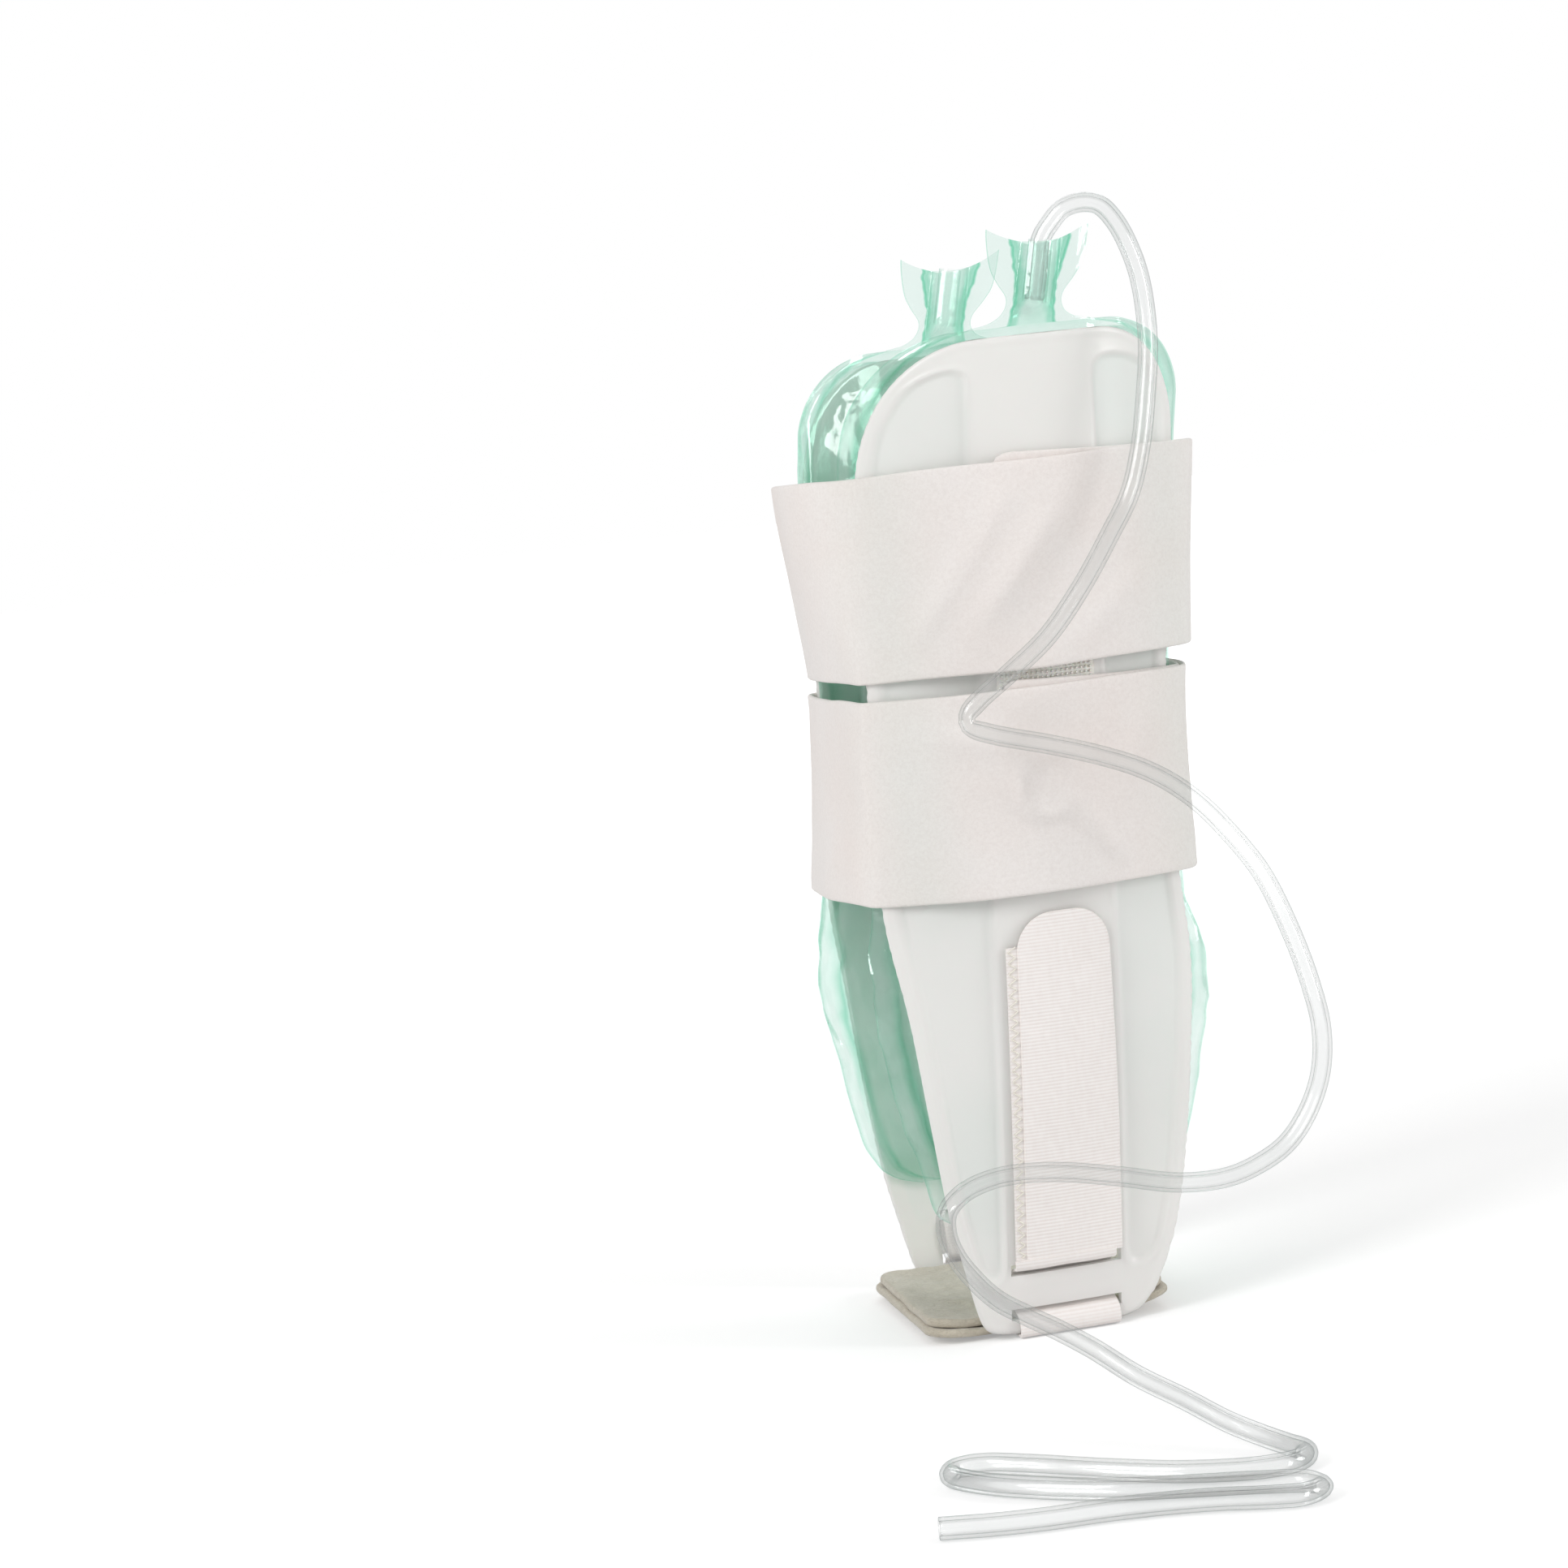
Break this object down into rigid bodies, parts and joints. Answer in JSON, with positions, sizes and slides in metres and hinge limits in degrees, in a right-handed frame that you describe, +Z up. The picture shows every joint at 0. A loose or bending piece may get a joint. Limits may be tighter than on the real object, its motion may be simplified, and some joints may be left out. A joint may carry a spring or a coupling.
{
  "type": "inflatable ankle stirrup brace",
  "caption": "Ankle stirrup brace: two moulded side shells on a heel pad, air-cell liners, wrap straps and a clear inflation tube.",
  "frame": {"origin": "on the floor plane, under the middle of the heel pad, halfway between the two shells", "axes": "+Z up the leg, +X towards the back of the heel, -X towards the toes, -Y the medial side"},
  "size_m": [0.1346, 0.2622, 0.2819],
  "materials": {
    "shell": "satin translucent moulded",
    "film": "clear green-tinted flexible film",
    "tube": "clear flexible tube",
    "strap_fabric": "brushed loop laminate",
    "webbing": "ribbed woven tape",
    "hook_tape": "hook tape with rows of hooks",
    "felt": "pressed felt"
  },
  "bodies": {
    "heel_base": {"heel_pad": "felt", "heel_strap": "webbing", "upper_strap": "strap_fabric", "lower_strap": "strap_fabric"},
    "medial_side": {"medial_shell": "shell", "medial_strap_loop": "webbing", "medial_channel_hook": "hook_tape", "medial_heel_hook": "hook_tape", "medial_cell_hook_patches": "hook_tape", "medial_cell_loop_patches": "strap_fabric", "medial_cell_outer_film": "film", "medial_cell_valve": "film"},
    "lateral_side": {"lateral_shell": "shell", "lateral_strap_loop": "webbing", "lateral_channel_hook": "hook_tape", "lateral_heel_hook": "hook_tape", "lateral_cell_hook_patches": "hook_tape", "lateral_cell_loop_patches": "strap_fabric", "lateral_cell_outer_film": "film", "lateral_cell_valve": "film"},
    "medial_air_wall": {"medial_cell_inner_film": "film"},
    "lateral_air_wall": {"lateral_cell_inner_film": "film"},
    "medial_tab": {"medial_heel_tab": "webbing"},
    "lateral_tab": {"lateral_heel_tab": "webbing"},
    "upper_strap_end": {"upper_strap_free_end": "strap_fabric", "upper_strap_hook_tab": "hook_tape"},
    "lower_strap_end": {"lower_strap_free_end": "strap_fabric", "lower_strap_hook_tab": "hook_tape"},
    "tube": {"inflation_tube": "tube"}
  },
  "joints": [
    {"name": "medial_shell_swing", "type": "hinge", "parent": "heel_base", "child": "medial_side", "pos_m": [0, -0.036, 0.002], "axis": [1, 0, 0], "range_deg": [-3, 8], "deforming": ["upper_strap", "lower_strap"]},
    {"name": "lateral_shell_swing", "type": "hinge", "parent": "heel_base", "child": "lateral_side", "pos_m": [0, 0.036, 0.002], "axis": [-1, 0, 0], "range_deg": [-3, 8], "deforming": ["upper_strap", "lower_strap"]},
    {"name": "medial_cell_deflate", "type": "slide", "parent": "medial_side", "child": "medial_air_wall", "axis": [0, -1, 0], "range_m": [0, 0.008], "deforming": ["medial_cell_inner_film"]},
    {"name": "lateral_cell_deflate", "type": "slide", "parent": "lateral_side", "child": "lateral_air_wall", "axis": [0, 1, 0], "range_m": [0, 0.008], "deforming": ["lateral_cell_inner_film"]},
    {"name": "medial_tab_peel", "type": "hinge", "parent": "medial_side", "child": "medial_tab", "pos_m": [0.001, -0.0412, 0.0186], "axis": [1, 0, 0], "range_deg": [0, 35]},
    {"name": "lateral_tab_peel", "type": "hinge", "parent": "lateral_side", "child": "lateral_tab", "pos_m": [0.001, 0.0412, 0.0186], "axis": [-1, 0, 0], "range_deg": [0, 85]},
    {"name": "upper_strap_peel", "type": "hinge", "parent": "lateral_side", "child": "upper_strap_end", "pos_m": [0.0457, 0.0411, 0.1935], "axis": [-0.1511, 0.048, -0.9874], "range_deg": [0, 100]},
    {"name": "lower_strap_peel", "type": "hinge", "parent": "lateral_side", "child": "lower_strap_end", "pos_m": [0.0421, 0.0417, 0.138], "axis": [-0.06, -0.03, -0.9977], "range_deg": [0, 100]},
    {"name": "tube_pull", "type": "slide", "parent": "medial_side", "child": "tube", "axis": [0.2192, 0, 0.9757], "range_m": [0, 0.03]}
  ]
}
